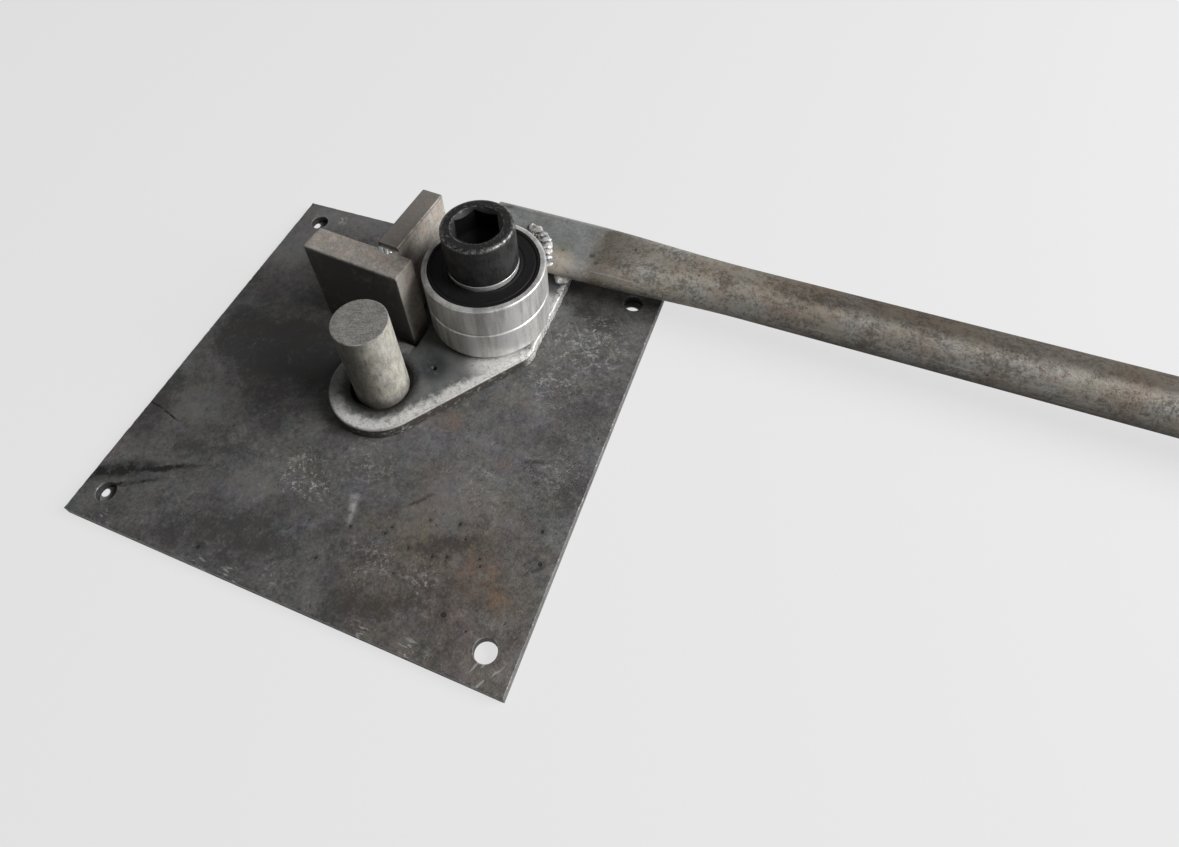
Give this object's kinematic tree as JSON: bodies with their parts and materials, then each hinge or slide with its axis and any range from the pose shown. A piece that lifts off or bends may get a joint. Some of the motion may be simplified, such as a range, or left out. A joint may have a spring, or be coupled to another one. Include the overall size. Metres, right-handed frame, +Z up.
{
  "type": "manual tube bender",
  "caption": "Plate-mounted hand bender: a bearing roller on a long-handled arm swings round a fixed post and bends bar or tube held by a welded fence.",
  "frame": {"origin": "on the underside of the base plate, at its centre, under the post's axis", "axes": "+Z up along the post, +X along the handle at rest, +Y away from the user"},
  "size_m": [0.5762, 0.2002, 0.0642],
  "materials": {
    "mill_scale_plate": "dark mill scale, scratched and spotted with rust",
    "ground_plate": "hand ground plate with scale left in places",
    "cut_bar": "saw cut raw bar, dull",
    "bearing_steel": "ground and polished",
    "seal_rubber": "matt moulded rubber",
    "black_oxide": "black oxide, worn bright at the edges",
    "bright_washer": "bright plated",
    "raw_tube": "raw drawn tube with brown rust bloom",
    "weld_metal": "bright lumpy weld bead",
    "pressed_cage": "pressed steel"
  },
  "bodies": {
    "base": {"base_plate": "mill_scale_plate", "pivot_post": "cut_bar", "post_root_weld": "weld_metal", "fence_bar": "cut_bar", "fence_buttress": "cut_bar", "fence_end_weld": "weld_metal", "fence_back_weld": "weld_metal", "buttress_side_weld": "weld_metal", "buttress_end_weld": "weld_metal", "buttress_top_weld": "weld_metal"},
    "arm": {"arm_plate": "ground_plate", "roller_bolt": "black_oxide", "bolt_washer": "bright_washer", "roller_spacer": "bright_washer", "lower_inner_ring": "bearing_steel", "upper_inner_ring": "bearing_steel", "handle_tube": "raw_tube", "handle_packer": "cut_bar", "handle_end_weld": "weld_metal", "handle_tack_weld": "weld_metal", "handle_back_weld": "weld_metal"},
    "lower_roller": {"lower_outer_ring": "bearing_steel", "lower_seal_bottom": "seal_rubber", "lower_seal_top": "seal_rubber"},
    "lower_cage": {"lower_cage": "pressed_cage", "lower_ball_1": "bearing_steel", "lower_ball_2": "bearing_steel", "lower_ball_3": "bearing_steel", "lower_ball_4": "bearing_steel", "lower_ball_5": "bearing_steel", "lower_ball_6": "bearing_steel", "lower_ball_7": "bearing_steel"},
    "upper_roller": {"upper_outer_ring": "bearing_steel", "upper_seal_bottom": "seal_rubber", "upper_seal_top": "seal_rubber"},
    "upper_cage": {"upper_cage": "pressed_cage", "upper_ball_1": "bearing_steel", "upper_ball_2": "bearing_steel", "upper_ball_3": "bearing_steel", "upper_ball_4": "bearing_steel", "upper_ball_5": "bearing_steel", "upper_ball_6": "bearing_steel", "upper_ball_7": "bearing_steel"}
  },
  "joints": [
    {"name": "arm_swing", "type": "hinge", "parent": "base", "child": "arm", "pos_m": [0, 0, 0.004], "axis": [0, 0, 1], "range_deg": [-240, 3]},
    {"name": "lower_roller_spin", "type": "hinge", "parent": "arm", "child": "lower_roller", "pos_m": [0.02764, 0.05008, 0.0192], "axis": [0, 0, 1], "continuous": true},
    {"name": "lower_cage_spin", "type": "hinge", "parent": "arm", "child": "lower_cage", "pos_m": [0.02764, 0.05008, 0.0192], "axis": [0, 0, 1], "continuous": true},
    {"name": "upper_roller_spin", "type": "hinge", "parent": "arm", "child": "upper_roller", "pos_m": [0.02764, 0.05008, 0.0345], "axis": [0, 0, 1], "continuous": true},
    {"name": "upper_cage_spin", "type": "hinge", "parent": "arm", "child": "upper_cage", "pos_m": [0.02764, 0.05008, 0.0345], "axis": [0, 0, 1], "continuous": true}
  ],
  "couplings": [
    {"joint": "lower_cage_spin", "follows": "lower_roller_spin", "ratio": 0.6323},
    {"joint": "upper_cage_spin", "follows": "upper_roller_spin", "ratio": 0.6323}
  ]
}
